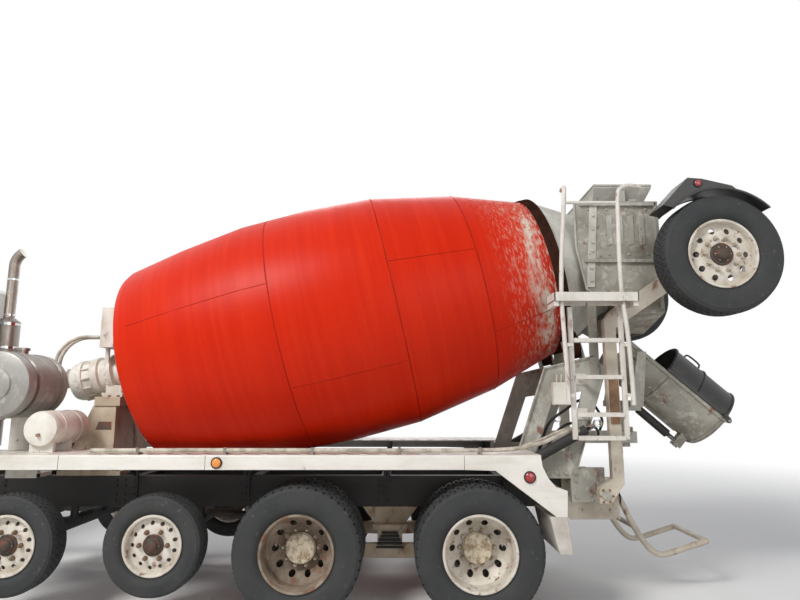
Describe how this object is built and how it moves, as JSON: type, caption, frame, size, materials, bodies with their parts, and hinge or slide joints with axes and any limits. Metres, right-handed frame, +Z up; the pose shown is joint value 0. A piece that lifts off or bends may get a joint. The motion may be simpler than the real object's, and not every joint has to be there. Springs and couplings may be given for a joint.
{
  "type": "concrete mixer truck",
  "caption": "Concrete mixer truck with a tilted rotating drum, rear hopper and discharge chute, raised pusher axles and a booster axle folded up behind.",
  "frame": {"origin": "on the floor, halfway between the front bumper's face and the back of the folded booster wheels, on the truck's middle line", "axes": "+X towards the cab, +Y to the driver's left, +Z up"},
  "size_m": [10.9019, 2.84, 3.8],
  "materials": {
    "dark_steel": "satin",
    "chrome_bumper": "polished",
    "engine_grey": "rough",
    "white_paint": "gloss",
    "window_glass": "clear",
    "seat_cloth": "woven",
    "dash_plastic": "matte",
    "black_plastic": "satin",
    "bright_alloy": "polished",
    "stainless": "satin",
    "beige_paint": "worn satin",
    "alloy_tank": "dull",
    "off_white_paint": "dirty satin",
    "white_hose": "matte",
    "grey_paint": "worn matte",
    "lamp_glass": "clear",
    "red_paint": "satin",
    "track_steel": "worn",
    "black_paint": "satin",
    "rod_chrome": "polished",
    "cast_knuckle": "rough",
    "wheel_tyre": "matte"
  },
  "bodies": {
    "chassis": {"frame_rails": "dark_steel", "crossmembers": "dark_steel", "bumper": "chrome_bumper", "engine": "engine_grey", "cab": "white_paint", "cab_glass": "window_glass", "seats": "seat_cloth", "dashboard": "dash_plastic", "mirrors": "black_plastic", "fuel_tanks": "bright_alloy", "exhaust": "stainless", "front_pedestal": "beige_paint", "water_tanks": "alloy_tank", "drum_drive": "off_white_paint", "hose_outer": "white_hose", "hose_inner": "white_hose", "fender_decks": "white_paint", "rear_tower": "grey_paint", "hopper": "grey_paint", "collector": "grey_paint", "ladder": "off_white_paint", "rear_guard": "beige_paint", "steer_axle": "dark_steel", "drive_axles": "dark_steel", "drive_suspension": "beige_paint", "pusher_axles": "dark_steel"},
    "hood": {"hood": "white_paint", "grille": "chrome_bumper", "headlamps": "lamp_glass"},
    "door_left": {"door_left": "white_paint", "door_glass_left": "window_glass"},
    "door_right": {"door_right": "white_paint", "door_glass_right": "window_glass"},
    "drum": {"drum": "red_paint", "track_ring": "track_steel"},
    "roller_left": {"roller_left": "track_steel"},
    "roller_right": {"roller_right": "track_steel"},
    "chute_swivel": {"chute_swivel": "beige_paint"},
    "main_chute": {"main_chute": "grey_paint"},
    "fold_chute": {"fold_chute": "black_paint"},
    "chute_cylinder": {"chute_cylinder": "dark_steel"},
    "chute_rod": {"chute_rod": "rod_chrome"},
    "booster": {"booster_arm": "beige_paint", "booster_fenders": "black_plastic"},
    "booster_cylinders": {"booster_cylinders": "dark_steel"},
    "booster_rods": {"booster_rods": "rod_chrome"},
    "knuckle_left": {"knuckle_left": "cast_knuckle"},
    "knuckle_right": {"knuckle_right": "cast_knuckle"},
    "steer_wheel_left": {"steer_wheel_left": "wheel_tyre"},
    "steer_wheel_right": {"steer_wheel_right": "wheel_tyre"},
    "drive_wheel_front_left": {"drive_wheel_front_left": "wheel_tyre"},
    "drive_wheel_front_right": {"drive_wheel_front_right": "wheel_tyre"},
    "drive_wheel_rear_left": {"drive_wheel_rear_left": "wheel_tyre"},
    "drive_wheel_rear_right": {"drive_wheel_rear_right": "wheel_tyre"},
    "pusher_wheel_front_left": {"pusher_wheel_front_left": "wheel_tyre"},
    "pusher_wheel_front_right": {"pusher_wheel_front_right": "wheel_tyre"},
    "pusher_wheel_rear_left": {"pusher_wheel_rear_left": "wheel_tyre"},
    "pusher_wheel_rear_right": {"pusher_wheel_rear_right": "wheel_tyre"},
    "booster_wheel_left": {"booster_wheel_left": "wheel_tyre"},
    "booster_wheel_right": {"booster_wheel_right": "wheel_tyre"}
  },
  "joints": [
    {"name": "drum_spin", "type": "hinge", "parent": "chassis", "child": "drum", "pos_m": [0.51, 0, 2.005], "axis": [-0.974, 0, 0.2267], "continuous": true},
    {"name": "roller_left_spin", "type": "hinge", "parent": "chassis", "child": "roller_left", "pos_m": [-3.77569, 0.5422, 2.20728], "axis": [-0.974, 0, 0.2267], "continuous": true},
    {"name": "roller_right_spin", "type": "hinge", "parent": "chassis", "child": "roller_right", "pos_m": [-3.77569, -0.5422, 2.20728], "axis": [-0.974, 0, 0.2267], "continuous": true},
    {"name": "steer_left", "type": "hinge", "parent": "chassis", "child": "knuckle_left", "pos_m": [4.22, 0.85, 0.535], "axis": [0, 0, 1], "range_deg": [-35, 35]},
    {"name": "steer_wheel_left_spin", "type": "hinge", "parent": "knuckle_left", "child": "steer_wheel_left", "pos_m": [4.22, 0.85, 0.535], "axis": [0, 1, 0], "continuous": true},
    {"name": "steer_right", "type": "hinge", "parent": "chassis", "child": "knuckle_right", "pos_m": [4.22, -0.85, 0.535], "axis": [0, 0, 1], "range_deg": [-35, 35]},
    {"name": "steer_wheel_right_spin", "type": "hinge", "parent": "knuckle_right", "child": "steer_wheel_right", "pos_m": [4.22, -0.85, 0.535], "axis": [0, 1, 0], "continuous": true},
    {"name": "drive_wheel_front_left_spin", "type": "hinge", "parent": "chassis", "child": "drive_wheel_front_left", "pos_m": [-1.37, 0.9, 0.515], "axis": [0, 1, 0], "continuous": true},
    {"name": "drive_wheel_front_right_spin", "type": "hinge", "parent": "chassis", "child": "drive_wheel_front_right", "pos_m": [-1.37, -0.9, 0.515], "axis": [0, 1, 0], "continuous": true},
    {"name": "drive_wheel_rear_left_spin", "type": "hinge", "parent": "chassis", "child": "drive_wheel_rear_left", "pos_m": [-2.81, 0.9, 0.515], "axis": [0, 1, 0], "continuous": true},
    {"name": "drive_wheel_rear_right_spin", "type": "hinge", "parent": "chassis", "child": "drive_wheel_rear_right", "pos_m": [-2.81, -0.9, 0.515], "axis": [0, 1, 0], "continuous": true},
    {"name": "pusher_wheel_front_left_spin", "type": "hinge", "parent": "chassis", "child": "pusher_wheel_front_left", "pos_m": [0.91, 1, 0.575], "axis": [0, 1, 0], "continuous": true},
    {"name": "pusher_wheel_front_right_spin", "type": "hinge", "parent": "chassis", "child": "pusher_wheel_front_right", "pos_m": [0.91, -1, 0.575], "axis": [0, 1, 0], "continuous": true},
    {"name": "pusher_wheel_rear_left_spin", "type": "hinge", "parent": "chassis", "child": "pusher_wheel_rear_left", "pos_m": [-0.24, 1, 0.575], "axis": [0, 1, 0], "continuous": true},
    {"name": "pusher_wheel_rear_right_spin", "type": "hinge", "parent": "chassis", "child": "pusher_wheel_rear_right", "pos_m": [-0.24, -1, 0.575], "axis": [0, 1, 0], "continuous": true},
    {"name": "door_left_swing", "type": "hinge", "parent": "chassis", "child": "door_left", "pos_m": [3.673, 1.014, 1.6], "axis": [0, 0, -1], "range_deg": [0, 70]},
    {"name": "door_right_swing", "type": "hinge", "parent": "chassis", "child": "door_right", "pos_m": [3.673, -1.014, 1.6], "axis": [0, 0, 1], "range_deg": [0, 70]},
    {"name": "hood_tilt", "type": "hinge", "parent": "chassis", "child": "hood", "pos_m": [5.25, 0, 0.79], "axis": [0, 1, 0], "range_deg": [0, 60]},
    {"name": "booster_swing", "type": "hinge", "parent": "chassis", "child": "booster", "pos_m": [-3.93, 0, 0.9], "axis": [0, -1, 0], "range_deg": [0, 72]},
    {"name": "booster_wheel_left_spin", "type": "hinge", "parent": "booster", "child": "booster_wheel_left", "pos_m": [-4.905, 1, 2.92], "axis": [0, 1, 0], "continuous": true},
    {"name": "booster_wheel_right_spin", "type": "hinge", "parent": "booster", "child": "booster_wheel_right", "pos_m": [-4.905, -1, 2.92], "axis": [0, 1, 0], "continuous": true},
    {"name": "booster_cylinder_swing", "type": "hinge", "parent": "chassis", "child": "booster_cylinders", "pos_m": [-3.33, 0, 1.18], "axis": [0, -1, 0], "range_deg": [0, 32.69]},
    {"name": "booster_rod_slide", "type": "slide", "parent": "booster_cylinders", "child": "booster_rods", "axis": [-0.8824, 0, 0.4706], "range_m": [0, 0.49445]},
    {"name": "chute_swing", "type": "hinge", "parent": "chassis", "child": "chute_swivel", "pos_m": [-4.41, 0, 1.4], "axis": [0, 0, 1], "range_deg": [-80, 80]},
    {"name": "chute_raise", "type": "hinge", "parent": "chute_swivel", "child": "main_chute", "pos_m": [-4.48384, 0, 2.12631], "axis": [0, 1, 0], "range_deg": [0, 22]},
    {"name": "chute_fold", "type": "hinge", "parent": "main_chute", "child": "fold_chute", "pos_m": [-5.28829, 0, 1.50917], "axis": [0, -1, 0], "range_deg": [0, 180]},
    {"name": "chute_cylinder_swing", "type": "hinge", "parent": "chute_swivel", "child": "chute_cylinder", "pos_m": [-4.54, 0, 1.64], "axis": [0, 1, 0], "range_deg": [0, 31.44]},
    {"name": "chute_rod_slide", "type": "slide", "parent": "chute_cylinder", "child": "chute_rod", "axis": [-0.7487, 0, -0.6629], "range_m": [0, 0.15829]}
  ],
  "couplings": [
    {"joint": "booster_cylinder_swing", "follows": "booster_swing", "ratio": 0.45406},
    {"joint": "booster_rod_slide", "follows": "booster_swing", "m_per_rad": 0.39347},
    {"joint": "chute_cylinder_swing", "follows": "chute_raise", "ratio": 1.4293},
    {"joint": "chute_rod_slide", "follows": "chute_raise", "m_per_rad": 0.41225},
    {"joint": "steer_right", "follows": "steer_left", "ratio": 1}
  ]
}
